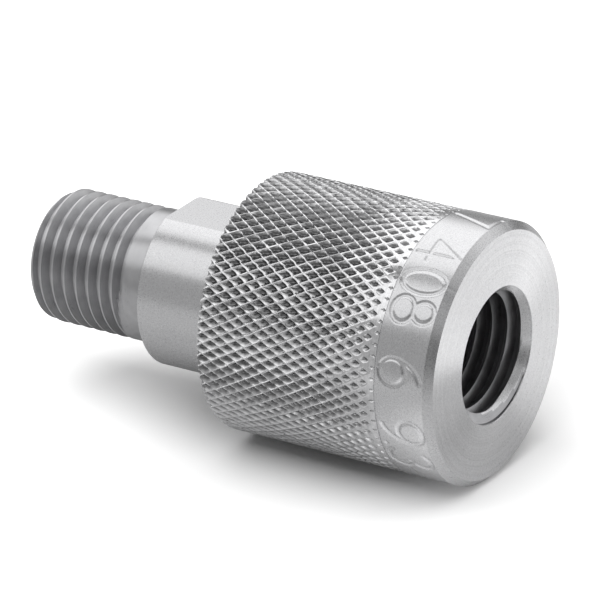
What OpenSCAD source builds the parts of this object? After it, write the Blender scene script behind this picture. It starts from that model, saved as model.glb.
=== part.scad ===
// Hand-tightened quick test coupling: a knurled swivel sleeve, bored for a fine
// internal thread, turning on a stem with wrench flats and a shank that is
// turned to the outside diameter of the hose thread.
// Millimetres. It stands on the stem's threaded end, with its mouth up.

/* [Sleeve] */
// Outside diameter of the knurled sleeve
sleeve_diameter = 23; // [20:0.1:30]
// Length of the sleeve, front face to rear face
sleeve_length = 22.8; // [20:0.1:30]
// Length of the smooth band behind the front face
band_length = 5.3; // [2:0.1:8]
// Edge break round the front face, at 45 degrees
sleeve_chamfer = 0.65; // [0.2:0.05:1.5]
// Edge break of the rear opening, at 45 degrees
rear_chamfer = 0.4; // [0.1:0.05:0.8]

/* [Knurl] */
// Spacing of the pits round the sleeve
knurl_pitch = 0.985; // [0.8:0.005:2]
// Angle of the knurl ridges to the sleeve's axis
knurl_angle = 30; // [20:1:45]
// Depth of a full pit
knurl_depth = 0.34; // [0.1:0.01:0.4]
// Length over which the pits fade out towards the band
knurl_fade = 3.4; // [0:0.1:8]
// How far the ridges lie below the smooth band
knurl_step = 0.02; // [0.01:0.01:0.1]

/* [Test thread] */
// Nominal diameter of the internal thread
test_thread_diameter = 12; // [10:0.5:13]
// Pitch of the internal thread
test_thread_pitch = 1.5; // [1:0.25:1.75]
// Depth of the internal thread from the front face
test_thread_length = 11; // [8:0.1:12]
// Diameter of the countersink in the front face
mouth_diameter = 12.1; // [11.8:0.05:14]
// Angle of the countersink's wall to the axis
mouth_angle = 45; // [30:1:60]
// Length of the undercut behind the internal thread
undercut_length = 2; // [1:0.1:3]
// How much wider than the thread the undercut is, per side
undercut_step = 0.25; // [0.1:0.05:0.6]

/* [Stem] */
// Nominal diameter of the hose thread
hose_thread_diameter = 12; // [10:0.5:14]
// Length of the hose thread, end face to shoulder
hose_thread_length = 12.6; // [9:0.1:18]
// Edge break at the end of the hose thread, at 45 degrees
end_chamfer = 0.65; // [0.2:0.05:1]
// Diameter of the neck
neck_diameter = 15; // [14.4:0.1:16]
// Length of the neck between the hose thread and the sleeve
neck_length = 8.8; // [5:0.1:15]
// Edge break of the neck at the hose thread
neck_chamfer = 0.1; // [0.05:0.05:0.5]
// Wrench size over the two flats of the neck
wrench_size = 14; // [13:0.1:14.2]
// How far the flats run on under the sleeve
flat_run_in = 0.8; // [0:0.1:1]
// Thickness of the flange that the sleeve pushes on
flange_thickness = 3.8; // [3:0.1:4]
// Diameter of the bore through the stem
bore_diameter = 3.6; // [2:0.1:4.6]
// Diameter of the countersink at the hose end of the bore
bore_mouth_diameter = 5; // [4.6:0.1:7]

/* [Face seal] */
// Diameter of the stem's nose, which lies in the undercut
nose_diameter = 11.6; // [10:0.1:12]
// Depth of the nose's face below the end of the internal thread
nose_setback = 0.3; // [0.1:0.1:0.6]
// Inside diameter of the seal ring
seal_inner_diameter = 5.7; // [5.2:0.1:7]
// Thickness of the seal ring
seal_section = 1.5; // [1:0.1:1.6]
// How far the seal ring stands proud of the nose's face
seal_proud = 0.3; // [0.1:0.05:0.4]
// Width of the groove of the seal ring
seal_groove_width = 1.8; // [1.65:0.05:2]

/* [Swivel] */
// Diameter of the chamber in the sleeve
chamber_diameter = 18; // [17.6:0.1:18.6]
// Length of the bearing bush
bush_length = 2.6; // [1.5:0.1:2.8]
// Thickness of the support washer
washer_thickness = 0.8; // [0.5:0.1:1]
// Thickness of the snap ring
ring_thickness = 1; // [0.8:0.1:1.1]
// Width of the snap ring across its band
ring_band = 1.75; // [1.4:0.05:1.8]
// Depth of the snap ring's groove
groove_depth = 0.6; // [0.4:0.05:0.8]
// Opening between the ends of the snap ring
ring_opening = 3.2; // [2:0.1:6]
// Edge break of the nose, the bush and the washer
small_chamfer = 0.15; // [0.05:0.05:0.3]

/* [Clearances] */
// Gap at each side of a part that turns, per side
running_gap = 0.06; // [0.03:0.01:0.1]
// Play along the axis on each side of the flange
axial_play = 0.1; // [0.05:0.01:0.2]
// Gap round a seated ring
seat_gap = 0.03; // [0.01:0.01:0.05]

/* [Hidden] */
$fn = 96;

overall_length = hose_thread_length + neck_length + sleeve_length;
sleeve_rear = hose_thread_length + neck_length;
test_minor_diameter = test_thread_diameter - 1.0825 * test_thread_pitch;
undercut_diameter = test_thread_diameter + 2 * undercut_step;
shoulder_depth = test_thread_length + undercut_length;
nose_face = test_thread_length + nose_setback;
flange_depth = shoulder_depth + axial_play;
bush_depth = flange_depth + flange_thickness + axial_play;
washer_depth = bush_depth + bush_length + seat_gap;
groove_start = washer_depth + washer_thickness + seat_gap;
groove_width = ring_thickness + 2 * seat_gap;
groove_diameter = chamber_diameter + 2 * groove_depth;
knurl_length = sleeve_length - band_length;
cut = 1;

// Height above the stand of a place so far behind the front face
function height(depth) = overall_length - depth;

// A ring about the axis with broken edges, from one height up to another
module ring(low, high, inner, outer, edge) {
    rotate_extrude()
        polygon([
            [inner + edge, low],
            [outer - edge, low],
            [outer, low + edge],
            [outer, high - edge],
            [outer - edge, high],
            [inner + edge, high],
            [inner, high - edge],
            [inner, low + edge]
        ]);
}

// The knurled length: a grid of points in which ridge crossings and pit
// middles take turns, with every square folded along its ridge
module knurl_skin() {
    columns = 2 * round(PI * sleeve_diameter / knurl_pitch);
    rows = max(4, round(knurl_length * tan(knurl_angle) / (knurl_pitch / 2)));
    ridge = sleeve_diameter / 2 - knurl_step;
    overlap = knurl_depth;
    function pit(i) =
        let (away = knurl_length * (rows - i) / rows)
        knurl_depth * (knurl_fade > 0 ? min(1, away / knurl_fade) : 1);
    function radius(i, k) =
        i >= rows || (i + k) % 2 == 0 ? ridge : ridge - pit(i);
    function level(i) =
        sleeve_rear + (i > rows ? knurl_length + overlap : knurl_length * i / rows);
    points = [
        for (i = [0 : rows + 1])
            for (k = [0 : columns - 1])
                let (turn = 360 * k / columns)
                [radius(i, k) * cos(turn), radius(i, k) * sin(turn), level(i)]
    ];
    function at(i, k) = i * columns + k % columns;
    walls = [
        for (i = [0 : rows])
            for (k = [0 : columns - 1])
                for (half = [0, 1])
                    (i + k) % 2 == 0
                        ? (half == 0
                            ? [at(i, k), at(i + 1, k), at(i + 1, k + 1)]
                            : [at(i, k), at(i + 1, k + 1), at(i, k + 1)])
                        : (half == 0
                            ? [at(i, k), at(i + 1, k), at(i, k + 1)]
                            : [at(i + 1, k), at(i + 1, k + 1), at(i, k + 1)])
    ];
    bottom = [for (k = [0 : columns - 1]) at(0, k)];
    top = [for (k = [columns - 1 : -1 : 0]) at(rows + 1, k)];
    polyhedron(points = points, faces = concat(walls, [bottom, top]), convexity = 6);
}

// The smooth band with its broken front edge
module band() {
    rotate_extrude()
        polygon([
            [0, height(band_length)],
            [sleeve_diameter / 2, height(band_length)],
            [sleeve_diameter / 2, height(sleeve_chamfer)],
            [sleeve_diameter / 2 - sleeve_chamfer, height(0)],
            [0, height(0)]
        ]);
}

// Everything that is bored, threaded and grooved out of the sleeve
module sleeve_bore() {
    minor = test_minor_diameter / 2;
    mouth = mouth_diameter / 2;
    undercut = undercut_diameter / 2;
    chamber = chamber_diameter / 2;
    slope = tan(mouth_angle);
    run_out = undercut - minor;
    rotate_extrude()
        polygon([
            [0, height(-cut)],
            [mouth + cut * slope, height(-cut)],
            [minor, height((mouth - minor) / slope)],
            [minor, height(test_thread_length - run_out)],
            [undercut, height(test_thread_length)],
            [undercut, height(shoulder_depth)],
            [chamber, height(shoulder_depth)],
            [chamber, height(groove_start)],
            [groove_diameter / 2, height(groove_start)],
            [groove_diameter / 2, height(groove_start + groove_width)],
            [chamber, height(groove_start + groove_width)],
            [chamber, sleeve_rear + rear_chamfer],
            [chamber + rear_chamfer + cut, sleeve_rear - cut],
            [0, sleeve_rear - cut]
        ]);
}

module sleeve() {
    color("silver")
        difference() {
            union() {
                knurl_skin();
                band();
            }
            sleeve_bore();
        }
}

// The turned outline of the stem, from its end face up to its nose
module stem_turning() {
    thread = hose_thread_diameter / 2;
    neck = neck_diameter / 2;
    flange = chamber_diameter / 2 - running_gap;
    nose = nose_diameter / 2;
    bore = bore_diameter / 2;
    bore_mouth = bore_mouth_diameter / 2;
    groove_inner = seal_inner_diameter / 2 - seat_gap;
    groove_outer = groove_inner + seal_groove_width;
    groove_bottom = height(nose_face + seal_section - seal_proud + seat_gap);
    rotate_extrude()
        polygon([
            [bore_mouth, 0],
            [thread - end_chamfer, 0],
            [thread, end_chamfer],
            [thread, hose_thread_length],
            [neck - neck_chamfer, hose_thread_length],
            [neck, hose_thread_length + neck_chamfer],
            [neck, height(flange_depth + flange_thickness)],
            [flange, height(flange_depth + flange_thickness)],
            [flange, height(flange_depth)],
            [nose, height(flange_depth)],
            [nose, height(nose_face + small_chamfer)],
            [nose - small_chamfer, height(nose_face)],
            [groove_outer, height(nose_face)],
            [groove_outer, groove_bottom],
            [groove_inner, groove_bottom],
            [groove_inner, height(nose_face)],
            [bore, height(nose_face)],
            [bore, bore_mouth - bore]
        ]);
}

// What a spanner bears on: two flats milled along the neck
module wrench_flats() {
    flat_length = neck_length + flat_run_in;
    for (side = [0, 180])
        rotate([0, 0, side])
            translate([wrench_size / 2, -neck_diameter, hose_thread_length])
                cube([neck_diameter, 2 * neck_diameter, flat_length]);
}

module stem() {
    color("gainsboro")
        difference() {
            stem_turning();
            wrench_flats();
        }
}

module seal_ring() {
    middle = seal_inner_diameter / 2 + seal_section / 2;
    color("dimgray")
        rotate_extrude()
            translate([middle, height(nose_face - seal_proud + seal_section / 2)])
                circle(d = seal_section);
}

module bearing_bush() {
    color("peru")
        ring(
            height(bush_depth + bush_length),
            height(bush_depth),
            neck_diameter / 2 + running_gap,
            chamber_diameter / 2 - seat_gap,
            small_chamfer
        );
}

module support_washer() {
    color("slategray")
        ring(
            height(washer_depth + washer_thickness),
            height(washer_depth),
            neck_diameter / 2 + 2 * running_gap,
            chamber_diameter / 2 - seat_gap,
            small_chamfer
        );
}

module snap_ring() {
    outer = groove_diameter / 2 - seat_gap;
    low = height(groove_start + groove_width - seat_gap);
    color("darkslategray")
        difference() {
            translate([0, 0, low])
                cylinder(h = ring_thickness, r = outer);
            translate([0, 0, low - cut])
                cylinder(h = ring_thickness + 2 * cut, r = outer - ring_band);
            translate([0, -ring_opening / 2, low - cut])
                cube([chamber_diameter, ring_opening, ring_thickness + 2 * cut]);
        }
}

stem();
sleeve();
seal_ring();
bearing_bush();
support_washer();
snap_ring();
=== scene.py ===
import math

import bmesh
import bpy
from mathutils import Matrix, Vector, noise


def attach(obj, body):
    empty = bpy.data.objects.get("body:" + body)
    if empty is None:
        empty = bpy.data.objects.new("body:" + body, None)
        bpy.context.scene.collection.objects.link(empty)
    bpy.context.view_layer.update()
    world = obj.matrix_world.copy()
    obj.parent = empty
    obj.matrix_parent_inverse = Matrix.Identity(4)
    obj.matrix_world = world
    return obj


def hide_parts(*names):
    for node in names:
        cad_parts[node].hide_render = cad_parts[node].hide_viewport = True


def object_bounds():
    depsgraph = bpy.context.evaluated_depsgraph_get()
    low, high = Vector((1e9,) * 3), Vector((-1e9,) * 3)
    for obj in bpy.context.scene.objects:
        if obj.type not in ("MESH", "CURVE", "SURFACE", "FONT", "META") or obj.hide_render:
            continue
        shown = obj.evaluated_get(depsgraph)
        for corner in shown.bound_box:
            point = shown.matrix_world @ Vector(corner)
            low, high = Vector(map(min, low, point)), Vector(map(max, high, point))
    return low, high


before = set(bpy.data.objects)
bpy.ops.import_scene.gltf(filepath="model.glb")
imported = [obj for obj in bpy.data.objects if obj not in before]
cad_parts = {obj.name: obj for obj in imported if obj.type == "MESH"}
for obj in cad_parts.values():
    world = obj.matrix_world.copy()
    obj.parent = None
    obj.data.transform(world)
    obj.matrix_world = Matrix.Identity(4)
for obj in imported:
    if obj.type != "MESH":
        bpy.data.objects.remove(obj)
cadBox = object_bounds()
fullTurn = 2 * math.pi
frontFace = cadBox[1].z * 1000  # mm above the end face that the part stands on
weld = 2e-4  # mm within which two points are one
tiny = 1e-5  # mm, less than any real length
levelSlack = 1e-4  # mm by which a point may miss a level and still count as on it
# shares of the pitch: from a groove's middle to the crest, the length of a flank along
# the axis, and how deep an inner and an outer thread are
threadForm = {"crestFrom": 0.4375, "flank": 0.3125, "innerDepth": 0.5413, "outerDepth": 0.6}
print("frame loaded, front face at %.1f mm" % frontFace)


# Shared modelling steps, all in millimetres

def polar(radius, angle, level):
    return Vector((radius * math.cos(angle), radius * math.sin(angle), level))


def spinOutline(bm, outline, columns):
    verts = [bm.verts.new((radius, 0, level)) for radius, level in outline]
    edges = [bm.edges.new(pair) for pair in zip(verts, verts[1:])]
    bmesh.ops.spin(bm, geom=verts + edges, cent=(0, 0, 0), axis=(0, 0, 1), angle=fullTurn,
                   steps=columns, space=Matrix.Identity(4), use_merge=True)


def screwTube(bm, low, high, pitch, start, rowsPerPitch, columns, radiusAt):
    # a grid whose rows climb one pitch a turn, so they run along the thread's corners
    firstTurn = math.floor((low - start) / pitch) - 1
    rows = (math.ceil((high - start) / pitch) - firstTurn) * rowsPerPitch
    grid = bmesh.ops.create_grid(bm, x_segments=columns, y_segments=rows, size=0.5)
    for vert in grid["verts"]:
        turn = round((vert.co.x + 0.5) * columns) / columns
        row = round((vert.co.y + 0.5) * rows)
        level = start + (firstTurn + row / rowsPerPitch + turn) * pitch
        level = min(max(level, low), high)
        angle = fullTurn * turn
        vert.co = polar(radiusAt(angle, level), angle, level)


def threadDepth(angle, level, pitch, start):
    # 0 on a crest and 1 in a root, and the level of the middle of that groove
    offset = ((level - start) / pitch - angle / fullTurn + 0.5) % 1 - 0.5
    share = min(max((threadForm["crestFrom"] - abs(offset)) / threadForm["flank"], 0), 1)
    return share, level - offset * pitch


def openRim(bm, level):
    return [edge for edge in bm.edges if edge.is_boundary
            and all(abs(vert.co.z - level) < levelSlack for vert in edge.verts)]


def fillRing(bm, level):
    bmesh.ops.triangle_fill(bm, edges=openRim(bm, level), normal=(0, 0, 1))


def openEdges(bm):
    return sum(1 for edge in bm.edges if not edge.is_manifold)


def makePiece(name, bm, sharpAngle, materials, body, node):
    bmesh.ops.remove_doubles(bm, verts=bm.verts, dist=weld)
    bmesh.ops.dissolve_degenerate(bm, edges=bm.edges, dist=tiny)
    bmesh.ops.recalc_face_normals(bm, faces=bm.faces)
    triangles = sum(len(face.verts) - 2 for face in bm.faces)
    print("%s: %d triangles, %d open edges" % (name, triangles, openEdges(bm)))
    bm.transform(Matrix.Scale(0.001, 4))
    mesh = bpy.data.meshes.new(name)
    bm.to_mesh(mesh)
    bm.free()
    mesh.shade_smooth()
    mesh.set_sharp_from_angle(angle=math.radians(sharpAngle))
    for material in materials:
        mesh.materials.append(material)
    piece = bpy.data.objects.new(name, mesh)
    bpy.context.scene.collection.objects.link(piece)
    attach(piece, body)
    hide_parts(node)


# Materials

def addNode(tree, kind, inputs=None, **settings):
    node = tree.nodes.new(kind)
    for name, value in settings.items():
        setattr(node, name, value)
    for name, value in (inputs or {}).items():
        node.inputs[name].default_value = value
    return node


def startMaterial(name):
    material = bpy.data.materials.new(name)
    material.use_nodes = True
    return material, material.node_tree, material.node_tree.nodes["Principled BSDF"]


def makeTurningMarks():
    # rings left by the lathe tool: height for a bump, tone for colour and gloss;
    # the lean tilts the marks of a flat face, as the side of the tool leaves them
    group = bpy.data.node_groups.new("turningMarks", "ShaderNodeTree")
    for name in ("Marks per mm", "Blotch per mm", "Lean"):
        group.interface.new_socket(name, in_out="INPUT", socket_type="NodeSocketFloat")
    for name in ("Height", "Tone"):
        group.interface.new_socket(name, in_out="OUTPUT", socket_type="NodeSocketFloat")
    link = group.links.new
    given = addNode(group, "NodeGroupInput")
    result = addNode(group, "NodeGroupOutput")
    place = addNode(group, "ShaderNodeTexCoord")
    inMm = addNode(group, "ShaderNodeVectorMath", {3: 1000}, operation="SCALE")
    parts = addNode(group, "ShaderNodeSeparateXYZ")
    across = addNode(group, "ShaderNodeCombineXYZ")
    radius = addNode(group, "ShaderNodeVectorMath", operation="LENGTH")
    rings = addNode(group, "ShaderNodeCombineXYZ")
    fine = addNode(group, "ShaderNodeTexNoise", {"Scale": 1, "Detail": 3, "Roughness": 0.6})
    ringScale = addNode(group, "ShaderNodeVectorMath", operation="SCALE")
    blotchScale = addNode(group, "ShaderNodeVectorMath", operation="SCALE")
    blotch = addNode(group, "ShaderNodeTexNoise", {"Scale": 1, "Detail": 2})
    tone = addNode(group, "ShaderNodeMath", {1: 0.5}, operation="MULTIPLY_ADD")
    half = addNode(group, "ShaderNodeMath", {1: 0.5}, operation="MULTIPLY")
    leaning = addNode(group, "ShaderNodeMath", operation="MULTIPLY")
    height = addNode(group, "ShaderNodeMath", operation="SUBTRACT")
    link(place.outputs["Object"], inMm.inputs[0])
    link(inMm.outputs[0], parts.inputs[0])
    link(parts.outputs["X"], across.inputs["X"])
    link(parts.outputs["Y"], across.inputs["Y"])
    link(across.outputs[0], radius.inputs[0])
    link(radius.outputs["Value"], rings.inputs["X"])
    link(parts.outputs["Z"], rings.inputs["Z"])
    link(rings.outputs[0], ringScale.inputs[0])
    link(given.outputs["Marks per mm"], ringScale.inputs["Scale"])
    link(ringScale.outputs[0], fine.inputs["Vector"])
    link(inMm.outputs[0], blotchScale.inputs[0])
    link(given.outputs["Blotch per mm"], blotchScale.inputs["Scale"])
    link(blotchScale.outputs[0], blotch.inputs["Vector"])
    link(fine.outputs["Fac"], half.inputs[0])
    link(blotch.outputs["Fac"], tone.inputs[0])
    link(half.outputs[0], tone.inputs[2])
    link(radius.outputs["Value"], leaning.inputs[0])
    link(given.outputs["Lean"], leaning.inputs[1])
    link(fine.outputs["Fac"], height.inputs[0])
    link(leaning.outputs[0], height.inputs[1])
    link(height.outputs[0], result.inputs["Height"])
    link(tone.outputs[0], result.inputs["Tone"])
    return group


turningMarks = makeTurningMarks()
toneStops = (0.36, 0.64)  # of the marks' tone: the darkest and the lightest colour
glossStops = (0.3, 0.7)  # of the same: the smoothest and the roughest
metals = {
    "turnedSteel": {"dark": (0.50, 0.50, 0.51), "light": (0.70, 0.70, 0.71), "rough": (0.24, 0.34),
                    "marks": 22, "blotch": 8, "bump": 0.0015, "anisotropy": 0.65},
    "facedSteel": {"dark": (0.56, 0.56, 0.57), "light": (0.77, 0.77, 0.78), "rough": (0.26, 0.34),
                   "marks": 22, "blotch": 8, "bump": 0.0015, "lean": 16, "anisotropy": 0.8},
    # the knurled steel's last entry darkens its colour in the pits: painted shade
    "knurledSteel": {"dark": (0.57, 0.57, 0.58), "light": (0.78, 0.78, 0.79), "rough": (0.09, 0.16),
                     "marks": 6, "blotch": 3, "bump": 0.01, "pitShade": (0.04, 0.25, 0.23)},
    # darker than the turned steel: painted shade inside the bore
    "boredSteelPaintedShade": {"dark": (0.34, 0.34, 0.35), "light": (0.44, 0.44, 0.45), "rough": (0.26, 0.36),
                   "marks": 20, "blotch": 0.8, "bump": 0.002, "anisotropy": 0.4},
    # darker than the turned steel; on the stem it also paints shade on the plain stretch below the
    # shoulder
    "threadedSteelAndShade": {"dark": (0.41, 0.41, 0.42), "light": (0.52, 0.52, 0.53),
                      "rough": (0.26, 0.36), "marks": 20, "blotch": 0.8, "bump": 0.002,
                      "anisotropy": 0.4},
    "bearingBronze": {"dark": (0.50, 0.33, 0.17), "light": (0.62, 0.42, 0.23), "rough": (0.3, 0.4),
                      "marks": 14, "blotch": 0.6, "bump": 0.002},
    "groundSteel": {"dark": (0.45, 0.45, 0.46), "light": (0.55, 0.55, 0.56), "rough": (0.25, 0.35),
                    "marks": 18, "blotch": 0.6, "bump": 0.002},
    "bluedSpringSteel": {"dark": (0.10, 0.10, 0.12), "light": (0.18, 0.18, 0.21),
                         "rough": (0.3, 0.42), "marks": 10, "blotch": 0.8, "bump": 0.002},
}


def makeMetal(name):
    metal = metals[name]
    material, tree, shader = startMaterial(name)
    link = tree.links.new
    shader.inputs["Metallic"].default_value = 1
    slope = math.tan(math.radians(metal.get("lean", 0)))
    pattern = addNode(tree, "ShaderNodeGroup", node_tree=turningMarks)
    pattern.inputs["Marks per mm"].default_value = metal["marks"]
    pattern.inputs["Blotch per mm"].default_value = metal["blotch"]
    pattern.inputs["Lean"].default_value = slope / metal["bump"]
    colours = addNode(tree, "ShaderNodeValToRGB")
    for element, place, tone in zip(colours.color_ramp.elements, toneStops, ("dark", "light")):
        element.position = place
        element.color = (*metal[tone], 1)
    smoothest, roughest = metal["rough"]
    gloss = addNode(tree, "ShaderNodeMapRange", {
        "From Min": glossStops[0], "From Max": glossStops[1],
        "To Min": smoothest, "To Max": roughest})
    relief = addNode(tree, "ShaderNodeBump", {"Strength": 1, "Distance": metal["bump"] * 0.001})
    link(pattern.outputs["Tone"], colours.inputs["Fac"])
    link(colours.outputs["Color"], shader.inputs["Base Color"])
    if "pitShade" in metal:
        # painted shade: the colour below the ridges is darkened as the pits' shade, from how many
        # mm below the sleeve's radius, down to how many, and how much of the tone is left there
        shallow, deep, left = metal["pitShade"]
        place = addNode(tree, "ShaderNodeTexCoord")
        flat = addNode(tree, "ShaderNodeVectorMath", {1: (1, 1, 0)}, operation="MULTIPLY")
        radius = addNode(tree, "ShaderNodeVectorMath", operation="LENGTH")
        share = addNode(tree, "ShaderNodeMapRange", {
            "From Min": cadBox[1].x - deep * 0.001, "From Max": cadBox[1].x - shallow * 0.001,
            "To Min": left, "To Max": 1})
        shadedPits = addNode(tree, "ShaderNodeVectorMath", operation="SCALE")
        link(place.outputs["Object"], flat.inputs[0])
        link(flat.outputs[0], radius.inputs[0])
        link(radius.outputs["Value"], share.inputs["Value"])
        link(colours.outputs["Color"], shadedPits.inputs[0])
        link(share.outputs["Result"], shadedPits.inputs["Scale"])
        link(shadedPits.outputs[0], shader.inputs["Base Color"])
    link(pattern.outputs["Tone"], gloss.inputs["Value"])
    link(gloss.outputs["Result"], shader.inputs["Roughness"])
    link(pattern.outputs["Height"], relief.inputs["Height"])
    link(relief.outputs["Normal"], shader.inputs["Normal"])
    if "anisotropy" in metal:
        # smooth along the marks, which run round the axis, and rough across them
        around = addNode(tree, "ShaderNodeTangent", direction_type="RADIAL", axis="Z")
        shader.inputs["Anisotropic"].default_value = metal["anisotropy"]
        shader.inputs["Anisotropic Rotation"].default_value = 0.25  # a quarter turn
        link(around.outputs["Tangent"], shader.inputs["Tangent"])
    return material


finishedMetals = {name: makeMetal(name) for name in metals}
rubber = {"dark": (0.012, 0.012, 0.012), "light": (0.035, 0.035, 0.036), "rough": (0.45, 0.65),
          "marks": 4, "blotch": 2}


def makeRubber():
    material, tree, shader = startMaterial("blackRubber")
    link = tree.links.new
    pattern = addNode(tree, "ShaderNodeGroup", node_tree=turningMarks)
    pattern.inputs["Marks per mm"].default_value = rubber["marks"]
    pattern.inputs["Blotch per mm"].default_value = rubber["blotch"]
    smoothest, roughest = rubber["rough"]
    gloss = addNode(tree, "ShaderNodeMapRange", {"To Min": smoothest, "To Max": roughest})
    colours = addNode(tree, "ShaderNodeValToRGB")
    for element, tone in zip(colours.color_ramp.elements, ("dark", "light")):
        element.color = (*rubber[tone], 1)
    link(pattern.outputs["Tone"], colours.inputs["Fac"])
    link(colours.outputs["Color"], shader.inputs["Base Color"])
    link(pattern.outputs["Tone"], gloss.inputs["Value"])
    link(gloss.outputs["Result"], shader.inputs["Roughness"])
    return material


print("materials made")


# Sleeve: knurl, band with numbers, mouth, thread and inner chamber

sleeve = {
    "radius": 11.5, "length": 22.8, "band": 5.3, "edge": 0.65,
    "mouthRadius": 6.05, "mouthAngle": 45,
    "boreShadeFrom": 0.05,  # how far past the mouth's cone the darker colour, painted shade in the bore, starts
    "threadRadius": 6.0, "threadPitch": 1.5, "threadDepth": 11.0, "threadStart": 1.284,
    "undercutRadius": 6.25, "shoulderDepth": 13.0,
    "chamberRadius": 9.0, "grooveRadius": 9.6, "grooveDepths": (20.46, 21.52), "rearEdge": 0.4,
    "columns": 128, "rowsPerPitch": 16, "sharpAngle": 40,
}
knurl = {
    "columns": 73, "halfRow": 0.8333, "halfPitch": 0.495, "step": 0.02, "firstDot": 0.25,
    "sizes": (0.34, 0.60, 0.70, 0.75, 0.79, 0.82, 0.84, 0.86),  # from the band backwards
    "roundness": 1.25, "unevenness": 0.08, "patchesPerMm": 1.7,
    "depth": 0.34, "rake": 0.08, "saddle": 0.1,
    "bowl": ((0.7, 0.42), (0.36, 0.8)),  # share of the way out and share of the depth
}
numbers = {
    "text": ((-6.2, "7"), (22.1, "4"), (38.6, "0"), (51.8, "8"), (78.6, "6"),
             (106.0, "9"), (114.6, "."), (123.7, "3")),
    "height": 4.0, "top": 0.85, "width": 2.4, "stroke": 0.5,
    "depth": 0.09, "flat": 0.4,  # the share of a stroke's width that is at full depth
    "margin": 12, "fineStep": 0.42, "wideStep": 2.5,  # degrees
    "reachSlack": 0.1, "rows": 56, "rimDepth": 0.05,
}


def arc(cx, cy, rx, ry, start, end, count=12):
    # in shares of a digit's width and height, and degrees
    steps = [math.radians(start + (end - start) * i / count) for i in range(count + 1)]
    return [(cx + rx * math.cos(a), cy + ry * math.sin(a)) for a in steps]


digitStrokes = {
    "0": [arc(0.5, 0.5, 0.46, 0.5, 0, 360, 20)],
    "3": [arc(0.46, 0.74, 0.42, 0.26, 150, -75), arc(0.46, 0.27, 0.5, 0.27, 75, -150)],
    "4": [[(0.72, 0), (0.72, 1), (0, 0.3), (1, 0.3)]],
    "6": [arc(0.5, 0.3, 0.48, 0.3, 0, 360, 16), arc(1.0, 0.3, 0.98, 0.7, 180, 108)],
    "7": [[(0, 1), (0.98, 1), (0.3, 0)]],
    "8": [arc(0.5, 0.75, 0.38, 0.25, 0, 360, 14), arc(0.5, 0.26, 0.48, 0.26, 0, 360, 16)],
    "9": [arc(0.5, 0.7, 0.48, 0.3, 0, 360, 16), arc(0, 0.7, 0.98, 0.7, 0, -72)],
    ".": [[(0.5, 0.03), (0.5, 0.03)]],
}


def strokeDistance(x, y, strokes):
    nearest = math.inf
    for line in strokes:
        for (ax, ay), (bx, by) in zip(line, line[1:]):
            dx, dy = bx - ax, by - ay
            length = dx * dx + dy * dy
            share = max(0, min(1, ((x - ax) * dx + (y - ay) * dy) / length)) if length else 0
            nearest = min(nearest, math.hypot(x - ax - share * dx, y - ay - share * dy))
    return nearest


def placedNumbers():
    placed = []
    for degrees, digit in numbers["text"]:
        middle = math.radians(degrees) * sleeve["radius"]
        strokes = []
        for line in digitStrokes[digit]:
            strokes.append([(middle + (x - 0.5) * numbers["width"],
                             frontFace - numbers["top"] - (1 - y) * numbers["height"])
                            for x, y in line])
        placed.append((middle, strokes))
    return placed


def engravedDepth(around, level, placed):
    reach = numbers["stroke"] / 2
    for middle, strokes in placed:
        if abs(around - middle) < numbers["width"] / 2 + reach + numbers["reachSlack"]:
            share = strokeDistance(around, level, strokes) / reach
            if share < 1:
                return numbers["depth"] * min(1, (1 - share) / (1 - numbers["flat"]))
    return 0


def layDiamonds(bm, first, rows):
    # diamonds standing on their corners, rolled round the sleeve, as far as a few rows
    # past the rear end
    columns, row = knurl["columns"], knurl["halfRow"]
    reach = columns + rows // 2 + 2
    bmesh.ops.create_grid(bm, x_segments=reach, y_segments=reach, size=0.5)
    for vert in bm.verts:
        a = round((vert.co.x + 0.5) * reach)
        b = round((vert.co.y + 0.5) * reach) - columns - 1
        vert.co = Vector(((a - b) / 2, a + b, 0))
    outside = []
    for face in bm.faces:  # their middles lie on whole and half numbers
        middle = face.calc_center_median()
        inTurn = 0.75 < middle.x < columns + 0.75
        if not inTurn or not -0.5 < middle.y < rows:
            outside.append(face)
    bmesh.ops.delete(bm, geom=outside, context="FACES")
    for vert in bm.verts:
        angle = fullTurn * vert.co.x / columns
        vert.co = polar(sleeve["radius"] - knurl["step"], angle, first - vert.co.y * row)
    bmesh.ops.remove_doubles(bm, verts=bm.verts, dist=weld)


def roundPit(face, middle, size):
    # an eight-sided outline between a diamond and an ellipse, flush with the ridges of the
    # roll that went over last; the other ridges are pressed down between the crossings
    power = knurl["roundness"]
    turn = math.atan2(middle.y, middle.x)
    radius = sleeve["radius"] - knurl["step"]
    for vert in face.verts:
        side = (math.atan2(vert.co.y, vert.co.x) - turn + math.pi) % fullTurn - math.pi
        u = side * radius / knurl["halfPitch"]
        w = (vert.co.z - middle.z) / knurl["halfRow"]
        grow = size / (abs(u) ** power + abs(w) ** power) ** (1 / power)
        pressed = knurl["saddle"] * max(0, 4 * u * w * grow * grow)
        vert.co = polar(radius - pressed, turn + side * grow,
                        middle.z + w * grow * knurl["halfRow"])


def pitSize(behindFirst):
    # the rows grow from the band backwards
    row = round(behindFirst / knurl["halfRow"]) - 1
    return knurl["sizes"][max(0, min(row, len(knurl["sizes"]) - 1))]


def pitDepth(size):
    return knurl["depth"] * size / knurl["sizes"][-1]


def sinkPit(face, middle, share, depth):
    # deepest a little off the middle, as the roll leaves it
    outward = Vector((middle.x, middle.y, 0)).normalized()
    around = Vector((-outward.y, outward.x, 0))
    shift = (around - Vector((0, 0, 1))) * knurl["rake"] * depth / knurl["depth"]
    for vert in face.verts:
        away = vert.co - middle
        flat = away - outward * away.dot(outward)
        vert.co = middle + flat * share - outward * depth - shift


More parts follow.
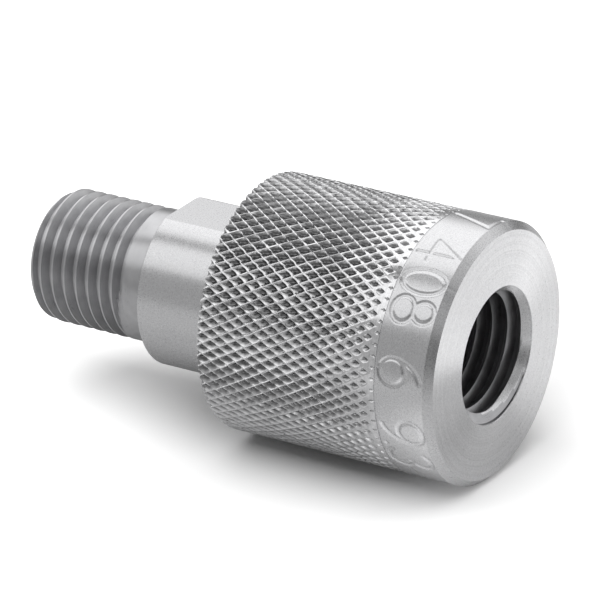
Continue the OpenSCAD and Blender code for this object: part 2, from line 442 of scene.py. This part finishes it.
def addKnurl(bm):
    rear = frontFace - sleeve["length"]
    front = frontFace - sleeve["band"]
    row = knurl["halfRow"]
    first = front - knurl["firstDot"] + row  # the ridge crossing in front of the last dots
    layDiamonds(bm, first, round((front - rear) / row) + 4)
    pits = []
    for face in bm.faces:
        middle = face.calc_center_median()
        size = pitSize(first - middle.z)
        size *= 1 + knurl["unevenness"] * noise.noise(middle * knurl["patchesPerMm"])
        pits.append((face, middle, size))
    faces = [face for face, middle, size in pits]
    bmesh.ops.inset_individual(bm, faces=faces, thickness=0.1)
    rims = {edge for face in faces for edge in face.edges}
    bmesh.ops.bisect_edges(bm, edges=list(rims), cuts=1)
    for face, middle, size in pits:
        roundPit(face, middle, size)
    reached = 1
    for out, down in knurl["bowl"]:
        bmesh.ops.inset_individual(bm, faces=faces, thickness=0.001)
        for face, middle, size in pits:
            sinkPit(face, middle, out / reached, down * pitDepth(size))
        reached = out
    left = 1 - knurl["bowl"][-1][1]
    for vert in bmesh.ops.poke(bm, faces=faces)["verts"]:
        outward = Vector((vert.co.x, vert.co.y, 0)).normalized()
        vert.co -= outward * (left * pitDepth(pitSize(first - vert.co.z)))
    for level, way in ((front, 1), (rear, -1)):
        everything = bm.verts[:] + bm.edges[:] + bm.faces[:]
        bmesh.ops.bisect_plane(bm, geom=everything, plane_co=(0, 0, level),
                               plane_no=(0, 0, way), clear_outer=True)
    for face in bm.faces:
        face.material_index = 1  # the knurled finish


def addBand(bm):
    placed = placedNumbers()
    firstAngle = numbers["text"][0][0] - numbers["margin"]
    lastAngle = numbers["text"][-1][0] + numbers["margin"]
    fine = round((lastAngle - firstAngle) / numbers["fineStep"])
    wide = round((360 - lastAngle + firstAngle) / numbers["wideStep"])
    angles = [firstAngle + (lastAngle - firstAngle) * i / fine for i in range(fine)]
    angles += [lastAngle + (360 + firstAngle - lastAngle) * i / wide for i in range(wide + 1)]
    columns, rows = len(angles) - 1, numbers["rows"]
    low, high = frontFace - sleeve["band"], frontFace - sleeve["edge"]
    grid = bmesh.ops.create_grid(bm, x_segments=columns, y_segments=rows, size=0.5)
    for vert in grid["verts"]:
        angle = math.radians(angles[round((vert.co.x + 0.5) * columns)])
        level = low + (high - low) * round((vert.co.y + 0.5) * rows) / rows
        cut = engravedDepth(angle * sleeve["radius"], level, placed)
        if level - low < levelSlack:
            cut = numbers["rimDepth"]  # a fine line where the knurl ends
        vert.co = polar(sleeve["radius"] - cut, angle, level)
    bmesh.ops.remove_doubles(bm, verts=grid["verts"], dist=weld)
    made = bmesh.ops.extrude_edge_only(bm, edges=openRim(bm, high))
    for vert in made["geom"]:
        if isinstance(vert, bmesh.types.BMVert):
            angle = math.atan2(vert.co.y, vert.co.x)
            vert.co = polar(sleeve["radius"] - sleeve["edge"], angle, frontFace)


def sleeveThreadRadius(angle, level):
    size = sleeve
    depth = frontFace - level
    share = threadDepth(angle, level, size["threadPitch"], size["threadStart"])[0]
    height = threadForm["innerDepth"] * size["threadPitch"]
    radius = size["threadRadius"] - height * (1 - share)
    cone = size["mouthRadius"] - depth * math.tan(math.radians(size["mouthAngle"]))
    runOut = size["undercutRadius"] - (size["threadDepth"] - depth)
    return max(radius, cone, runOut)


def makeSleeve():
    size = sleeve
    finishes = ("turnedSteel", "knurledSteel", "boredSteelPaintedShade", "facedSteel")
    bm = bmesh.new()
    addKnurl(bm)
    addBand(bm)
    threadEnd = frontFace - size["threadDepth"]
    screwTube(bm, threadEnd, frontFace, size["threadPitch"], size["threadStart"],
              size["rowsPerPitch"], size["columns"], sleeveThreadRadius)
    shoulder = frontFace - size["shoulderDepth"]
    grooveTop, grooveLow = (frontFace - depth for depth in size["grooveDepths"])
    rear = frontFace - size["length"]
    spinOutline(bm, [
        (size["undercutRadius"], threadEnd), (size["undercutRadius"], shoulder),
        (size["chamberRadius"], shoulder), (size["chamberRadius"], grooveTop),
        (size["grooveRadius"], grooveTop), (size["grooveRadius"], grooveLow),
        (size["chamberRadius"], grooveLow), (size["chamberRadius"], rear + size["rearEdge"]),
        (size["chamberRadius"] + size["rearEdge"], rear),
    ], size["columns"])
    bmesh.ops.remove_doubles(bm, verts=bm.verts, dist=weld)
    for level in (rear, frontFace - size["band"], frontFace):
        fillRing(bm, level)
    # the bore past the mouth's cone gets the darker colour, painted shade
    for face in bm.faces:
        middle = face.calc_center_median()
        radius, depth = math.hypot(middle.x, middle.y), frontFace - middle.z
        if abs(depth) < levelSlack:
            face.material_index = finishes.index("facedSteel")
        elif radius < size["mouthRadius"] < radius + depth - size["boreShadeFrom"]:
            face.material_index = finishes.index("boredSteelPaintedShade")
    makePiece("sleeveKnurled", bm, size["sharpAngle"],
              [finishedMetals[name] for name in finishes], "sleeve", "sleeve")


makeSleeve()


# Stem: hose thread, plain stretch, neck with flats, flange and nose

stem = {
    "threadRadius": 6.0, "threadPitch": 1.25, "threadTop": 11.0, "threadStart": 0.55,
    "fadeFrom": 9.58, "fadeTo": 9.76, "endEdge": 0.65,
    "shoulder": 12.6, "neckRadius": 7.5, "neckEdge": 0.1, "flatOffset": 7.0, "flatTop": 22.2,
    "flangeRadius": 8.94, "flangeLevels": (27.3, 31.1), "noseRadius": 5.8, "noseLevel": 32.9,
    "grooveRadii": (2.82, 4.62), "grooveLevel": 31.67, "boreRadius": 1.8, "boreMouth": 2.5,
    "softEdge": 0.15, "slack": 0.01, "columns": 128, "rowsPerPitch": 16, "sharpAngle": 15,
}


def stemThreadRadius(angle, level):
    size = stem
    share, middle = threadDepth(angle, level, size["threadPitch"], size["threadStart"])
    fade = (size["fadeTo"] - middle) / (size["fadeTo"] - size["fadeFrom"])
    share = min(share, max(0, min(1, fade)))
    radius = size["threadRadius"] - threadForm["outerDepth"] * size["threadPitch"] * share
    return min(radius, size["threadRadius"] - size["endEdge"] + level)


def makeStem():
    size = stem
    bm = bmesh.new()
    screwTube(bm, 0, size["threadTop"], size["threadPitch"], size["threadStart"],
              size["rowsPerPitch"], size["columns"], stemThreadRadius)
    flangeLow, flangeTop = size["flangeLevels"]
    inner, outer = size["grooveRadii"]
    spinOutline(bm, [
        (size["threadRadius"], size["threadTop"]), (size["threadRadius"], size["shoulder"]),
        (size["neckRadius"] - size["neckEdge"], size["shoulder"]),
        (size["neckRadius"], size["shoulder"] + size["neckEdge"]),
        (size["neckRadius"], size["flatTop"]),
        (size["neckRadius"], size["flatTop"] + 2 * size["slack"]),
        (size["neckRadius"], flangeLow), (size["flangeRadius"], flangeLow),
        (size["flangeRadius"], flangeTop), (size["noseRadius"], flangeTop),
        (size["noseRadius"], size["noseLevel"] - size["softEdge"]),
        (size["noseRadius"] - size["softEdge"], size["noseLevel"]),
        (outer, size["noseLevel"]), (outer, size["grooveLevel"]),
        (inner, size["grooveLevel"]), (inner, size["noseLevel"]),
        (size["boreRadius"], size["noseLevel"]),
        (size["boreRadius"], size["boreMouth"] - size["boreRadius"]), (size["boreMouth"], 0),
    ], size["columns"])
    for side in (1, -1):
        neck = [face for face in bm.faces
                if size["shoulder"] - size["slack"] < face.calc_center_median().z < size["flatTop"]
                and math.hypot(*face.calc_center_median().xy) > size["threadRadius"]]
        edges = {edge for face in neck for edge in face.edges}
        verts = {vert for face in neck for vert in face.verts}
        bmesh.ops.bisect_plane(bm, geom=[*neck, *edges, *verts], dist=tiny,
                               plane_co=(side * size["flatOffset"], 0, 0),
                               plane_no=(side, 0, 0))
        low, high = size["shoulder"] - size["slack"], size["flatTop"] + size["slack"]
        for vert in bm.verts:
            if vert.co.x * side > size["flatOffset"] and low < vert.co.z < high:
                vert.co.x = side * size["flatOffset"]
    bmesh.ops.remove_doubles(bm, verts=bm.verts, dist=weld)
    fillRing(bm, 0)
    widest = size["threadRadius"] + size["slack"]
    for face in bm.faces:
        middle = face.calc_center_median()
        inThread = size["boreMouth"] < math.hypot(middle.x, middle.y) < widest
        if inThread and 0 < middle.z < size["shoulder"]:
            face.material_index = 1  # a darker colour: the threaded finish on the thread, and painted shade on the plain stretch below the shoulder
    finishes = ("turnedSteel", "threadedSteelAndShade")
    makePiece("stemTurned", bm, size["sharpAngle"], [finishedMetals[name] for name in finishes],
              "stem", "stem")


makeStem()


# The inner rings keep their CAD shapes and get their own finishes

innerFinishes = {"bearing_bush": finishedMetals["bearingBronze"],
                 "support_washer": finishedMetals["groundSteel"],
                 "snap_ring": finishedMetals["bluedSpringSteel"], "seal_ring": makeRubber()}
for node, material in innerFinishes.items():
    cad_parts[node].data.materials.clear()
    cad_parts[node].data.materials.append(material)
print("inner rings finished")


# Studio: the part lies on its side, as it comes to rest when it is put down

studio = {
    "camera": (168.51, -303.35, 148.64), "target": (-15.77, -6.14, 3.79), "lens": 268.4,
    "nearestSeen": 10,
    "turn": -2.2, "floor": -11.5, "floorNear": -70, "floorFar": 450, "floorHalf": 450,
    # painted light on the floor, which leaves a painted shadow by the sleeve: mm away from where
    # the sleeve touches, which counts as ending short of its front
    "paintedLightFrom": 3, "paintedLightTo": 26, "paintedLightEnd": -10, "leastPaintedLight": 0.1,
    "paintedLight": ((-38, 0.62), (-27, 0.52), (-18, 0.3), (-12, 0.27), (-5, 0.34), (3, 0.7)),
    "floorTone": 0.9, "floorRough": 0.9, "rampEnds": (-40, 5),
    # painted shade in the floor's colour as the metal sees it: along the axis, and as a share round
    # a place before the mouth
    "mirroredPaintedShade": ((-35, 0.41), (-22, 0.5), (-14, 0.41), (-4, 0.84), (0, 0.82)),
    "mouthPlace": 20, "mouthFrom": 14, "mouthTo": 24, "mouthPaintedShade": 0.46,
    # and as a share on the camera's side, from the front on and in full 6 mm before it
    "nearFrom": -5, "nearTo": -32, "nearPaintedShade": 0.3, "nearFull": 6,
}
softbox = {"angle": 108, "distance": 350, "middle": -15, "length": 520, "width": 420, "light": 2.55}
# what the metal mirrors, by the direction round the part's axis: 0 is level on the
# camera's side, 90 straight up and 180 level behind; and, as a share, by how far the
# direction points along the axis, where 1 is straight out of the mouth
room = {
    "around": ((-110, 0.8), (-60, 0.8), (-20, 0.5), (32, 0.5), (34, 1.15), (70, 1.4), (74, 0.35),
               (82, 0.35), (84, 1.45), (144, 1.6), (152, 1.1), (160, 0.4), (180, 0.25)),
    "along": ((-1, 1), (-0.487, 1), (-0.1, 0.95), (0.2, 0.55), (0.5, 0.45), (1, 0.4)),
    # round the axis again, for directions out of the mouth, where only the flat face looks
    "behind": ((-180, 1.02), (-120, 1.02), (-110, 0), (100, 0), (130, 1.02), (180, 1.02)),
    "behindFrom": 0.1, "behindTo": 0.35,
    "strongest": 1.6, "fill": 0.15,
}
turnAngle = math.radians(studio["turn"])
lyingUp = Vector((math.cos(turnAngle), math.sin(turnAngle), 0))
lyingOut = Vector((0, 0, 1))
lyingSide = lyingUp.cross(lyingOut)


def lying(place):
    # from the lying frame (out of the mouth, sideways, up; mm) to the part's
    out, side, up = place
    return (lyingOut * (out + frontFace) + lyingSide * side + lyingUp * up) / 1000


def lookFrom(place, target):
    back = (lying(place) - lying(target)).normalized()
    right = lyingUp.cross(back).normalized()
    turned = Matrix((right, back.cross(right), back)).transposed().to_4x4()
    turned.translation = lying(place)
    return turned


camera = bpy.data.objects.new("camera", bpy.data.cameras.new("camera"))
camera.data.lens = studio["lens"]
camera.data.clip_start = studio["nearestSeen"] / 1000
camera.matrix_world = lookFrom(studio["camera"], studio["target"])
bpy.context.scene.collection.objects.link(camera)
bpy.context.scene.camera = camera


def makeSoftbox():
    # the angle goes round the part's axis, 0 behind it and 90 straight above; the metal
    # mirrors the room and not the lamp
    lamp = bpy.data.lights.new("softbox", "AREA")
    lamp.shape = "RECTANGLE"
    lamp.size, lamp.size_y = softbox["length"] / 1000, softbox["width"] / 1000
    lamp.energy = softbox["light"] * math.pi * lamp.size * lamp.size_y
    light = bpy.data.objects.new("softbox", lamp)
    angle = math.radians(softbox["angle"])
    back = lyingSide * math.cos(angle) + lyingUp * math.sin(angle)
    turned = Matrix((lyingOut, back.cross(lyingOut), back)).transposed().to_4x4()
    turned.translation = lying((softbox["middle"], softbox["distance"] * math.cos(angle),
                                softbox["distance"] * math.sin(angle)))
    light.matrix_world = turned
    light.visible_glossy = False
    bpy.context.scene.collection.objects.link(light)


makeSoftbox()


def addRamp(tree, stops, low, high, strongest):
    ramp = addNode(tree, "ShaderNodeValToRGB")
    elements = ramp.color_ramp.elements
    while len(elements) < len(stops):
        elements.new(0.5)
    for element, (place, tone) in zip(elements, stops):
        element.position = (place - low) / (high - low)
        grey = tone / strongest
        element.color = (grey, grey, grey, 1)
    return ramp


def makeFloor():
    material, tree, shader = startMaterial("palePaper")
    link = tree.links.new
    shader.inputs["Roughness"].default_value = studio["floorRough"]
    shader.inputs["Specular IOR Level"].default_value = 0
    # painted light and shade: the paper glows for the camera and the metal, more away from where
    # the sleeve touches, so a painted shadow stays along the sleeve and the paper meets the white
    # background;
    # as the metal sees it, its colour is darkened before the mouth and on the camera's side, and it
    # is clear from below
    rays = addNode(tree, "ShaderNodeLightPath")
    place = addNode(tree, "ShaderNodeTexCoord")
    parts = addNode(tree, "ShaderNodeSeparateXYZ")
    under = lying((0, 0, studio["floor"]))
    along = addNode(tree, "ShaderNodeClamp", {"Min": under.z - sleeve["length"] / 1000,
                                              "Max": under.z + studio["paintedLightEnd"] / 1000})
    touch = addNode(tree, "ShaderNodeCombineXYZ", {"X": under.x, "Y": under.y})
    away = addNode(tree, "ShaderNodeVectorMath", operation="DISTANCE")
    paintedLight = addNode(tree, "ShaderNodeMapRange", {
        "From Min": studio["paintedLightFrom"] / 1000, "From Max": studio["paintedLightTo"] / 1000,
        "To Min": studio["leastPaintedLight"], "To Max": 1})
    first, last = studio["rampEnds"]
    out = addNode(tree, "ShaderNodeMapRange", {"From Min": under.z + first / 1000,
                                               "From Max": under.z + last / 1000})
    most = addRamp(tree, studio["paintedLight"], first, last, 1)
    paintedLightShare = addNode(tree, "ShaderNodeMath", operation="MULTIPLY")
    seen = addNode(tree, "ShaderNodeMath", operation="MAXIMUM")
    paintedGlow = addNode(tree, "ShaderNodeMath", operation="MULTIPLY")
    before = addNode(tree, "ShaderNodeVectorMath",
                     {1: lying((studio["mouthPlace"], 0, studio["floor"]))}, operation="DISTANCE")
    shade = addNode(tree, "ShaderNodeMapRange", {
        "From Min": studio["mouthFrom"] / 1000, "From Max": studio["mouthTo"] / 1000,
        "To Min": studio["mouthPaintedShade"], "To Max": 1})
    tones = addRamp(tree, studio["mirroredPaintedShade"], first, last, 1)
    mirrored = addNode(tree, "ShaderNodeMath", operation="MULTIPLY")
    side = addNode(tree, "ShaderNodeVectorMath", {1: lyingSide * 1000}, operation="DOT_PRODUCT")
    near = addNode(tree, "ShaderNodeMapRange", {
        "From Min": studio["nearFrom"], "From Max": studio["nearTo"],
        "To Min": 1, "To Max": studio["nearPaintedShade"]})
    beside = addNode(tree, "ShaderNodeMapRange", {
        "From Min": under.z, "From Max": under.z + studio["nearFull"] / 1000,
        "To Min": 1, "To Max": 0})
    nearOnly = addNode(tree, "ShaderNodeMath", operation="MAXIMUM")
    mirroredAll = addNode(tree, "ShaderNodeMath", operation="MULTIPLY")
    paper = addNode(tree, "ShaderNodeMix", {"A": studio["floorTone"]}, data_type="FLOAT")
    behind = addNode(tree, "ShaderNodeNewGeometry")
    clear = addNode(tree, "ShaderNodeBsdfTransparent")
    mix = addNode(tree, "ShaderNodeMixShader")
    link(place.outputs["Object"], parts.inputs[0])
    link(parts.outputs["Z"], along.inputs["Value"])
    link(along.outputs[0], touch.inputs["Z"])
    link(place.outputs["Object"], away.inputs[0])
    link(touch.outputs[0], away.inputs[1])
    link(away.outputs["Value"], paintedLight.inputs["Value"])
    link(rays.outputs["Is Camera Ray"], seen.inputs[0])
    link(rays.outputs["Is Glossy Ray"], seen.inputs[1])
    link(seen.outputs[0], paintedGlow.inputs[0])
    link(parts.outputs["Z"], out.inputs["Value"])
    link(out.outputs["Result"], most.inputs["Fac"])
    link(paintedLight.outputs["Result"], paintedLightShare.inputs[0])
    link(most.outputs["Color"], paintedLightShare.inputs[1])
    link(paintedLightShare.outputs[0], paintedGlow.inputs[1])
    # painted light: the paper glows for camera and glossy rays
    link(paintedGlow.outputs[0], shader.inputs["Emission Strength"])
    link(place.outputs["Object"], before.inputs[0])
    link(before.outputs["Value"], shade.inputs["Value"])
    link(out.outputs["Result"], tones.inputs["Fac"])
    link(shade.outputs["Result"], mirrored.inputs[0])
    link(tones.outputs["Color"], mirrored.inputs[1])
    # painted shade: for glossy rays the paper takes the darker colour made above
    link(rays.outputs["Is Glossy Ray"], paper.inputs["Factor"])
    link(place.outputs["Object"], side.inputs[0])
    link(side.outputs["Value"], near.inputs["Value"])
    link(parts.outputs["Z"], beside.inputs["Value"])
    link(near.outputs["Result"], nearOnly.inputs[0])
    link(beside.outputs["Result"], nearOnly.inputs[1])
    link(mirrored.outputs[0], mirroredAll.inputs[0])
    link(nearOnly.outputs[0], mirroredAll.inputs[1])
    link(mirroredAll.outputs[0], paper.inputs["B"])
    link(paper.outputs["Result"], shader.inputs["Base Color"])
    link(paper.outputs["Result"], shader.inputs["Emission Color"])
    link(behind.outputs["Backfacing"], mix.inputs["Fac"])
    link(shader.outputs[0], mix.inputs[1])
    link(clear.outputs[0], mix.inputs[2])
    link(mix.outputs[0], tree.nodes["Material Output"].inputs["Surface"])
    half, low, high = (studio[name] for name in ("floorHalf", "floorNear", "floorFar"))
    bm = bmesh.new()
    corners = ((-half, low), (half, low), (half, high), (-half, high))
    bm.faces.new([bm.verts.new(lying((x, y, studio["floor"]))) for x, y in corners])
    mesh = bpy.data.meshes.new("paleFloor")
    bm.to_mesh(mesh)
    bm.free()
    mesh.materials.append(material)
    sheet = bpy.data.objects.new("paleFloor", mesh)
    bpy.context.scene.collection.objects.link(sheet)


makeFloor()


def makeWorld():
    world = bpy.data.worlds.new("studio")
    bpy.context.scene.world = world
    world.use_nodes = True
    tree = world.node_tree
    link = tree.links.new
    place = addNode(tree, "ShaderNodeTexCoord")
    parts = {}
    for name, way in (("up", lyingUp), ("near", -lyingSide), ("out", lyingOut)):
        parts[name] = addNode(tree, "ShaderNodeVectorMath", {1: way}, operation="DOT_PRODUCT")
        link(place.outputs["Generated"], parts[name].inputs[0])
    angle = addNode(tree, "ShaderNodeMath", operation="ARCTAN2")
    aroundShare = addNode(tree, "ShaderNodeMath", {1: 1 / fullTurn, 2: 0.5},
                          operation="MULTIPLY_ADD")
    alongShare = addNode(tree, "ShaderNodeMath", {1: 0.5, 2: 0.5}, operation="MULTIPLY_ADD")
    around = addRamp(tree, room["around"], -180, 180, room["strongest"])
    along = addRamp(tree, room["along"], -1, 1, 1)
    behind = addRamp(tree, room["behind"], -180, 180, room["strongest"])
    faced = addNode(tree, "ShaderNodeMapRange", {"From Min": room["behindFrom"],
                                                 "From Max": room["behindTo"]})
    paper = addNode(tree, "ShaderNodeMath", operation="MULTIPLY")
    lighter = addNode(tree, "ShaderNodeMath", operation="MAXIMUM")
    tone = addNode(tree, "ShaderNodeMath", operation="MULTIPLY")
    strength = addNode(tree, "ShaderNodeMath", {1: room["strongest"]}, operation="MULTIPLY")
    link(parts["up"].outputs["Value"], angle.inputs[0])
    link(parts["near"].outputs["Value"], angle.inputs[1])
    link(angle.outputs[0], aroundShare.inputs[0])
    link(parts["out"].outputs["Value"], alongShare.inputs[0])
    link(aroundShare.outputs[0], around.inputs["Fac"])
    link(alongShare.outputs[0], along.inputs["Fac"])
    link(around.outputs["Color"], tone.inputs[0])
    link(along.outputs["Color"], tone.inputs[1])
    link(aroundShare.outputs[0], behind.inputs["Fac"])
    link(tone.outputs[0], lighter.inputs[0])
    link(parts["out"].outputs["Value"], faced.inputs["Value"])
    link(behind.outputs["Color"], paper.inputs[0])
    link(faced.outputs["Result"], paper.inputs[1])
    link(paper.outputs[0], lighter.inputs[1])
    link(lighter.outputs[0], strength.inputs[0])
    fill = tree.nodes["Background"]
    fill.inputs["Color"].default_value = (1, 1, 1, 1)
    fill.inputs["Strength"].default_value = room["fill"]
    mirrored = addNode(tree, "ShaderNodeBackground", {"Color": (1, 1, 1, 1)})
    white = addNode(tree, "ShaderNodeBackground", {"Color": (1, 1, 1, 1), "Strength": 1})
    rays = addNode(tree, "ShaderNodeLightPath")
    clear = addNode(tree, "ShaderNodeMath", operation="MAXIMUM")
    inMetal = addNode(tree, "ShaderNodeMixShader")
    shown = addNode(tree, "ShaderNodeMixShader")
    link(strength.outputs[0], mirrored.inputs["Strength"])
    link(rays.outputs["Is Glossy Ray"], inMetal.inputs["Fac"])
    link(fill.outputs[0], inMetal.inputs[1])
    link(mirrored.outputs[0], inMetal.inputs[2])
    link(rays.outputs["Is Camera Ray"], clear.inputs[0])
    link(rays.outputs["Is Transmission Ray"], clear.inputs[1])
    link(clear.outputs[0], shown.inputs["Fac"])
    link(inMetal.outputs[0], shown.inputs[1])
    link(white.outputs[0], shown.inputs[2])
    link(shown.outputs[0], tree.nodes["World Output"].inputs["Surface"])


makeWorld()
bpy.context.scene.view_settings.view_transform = "Standard"
print("studio ready")
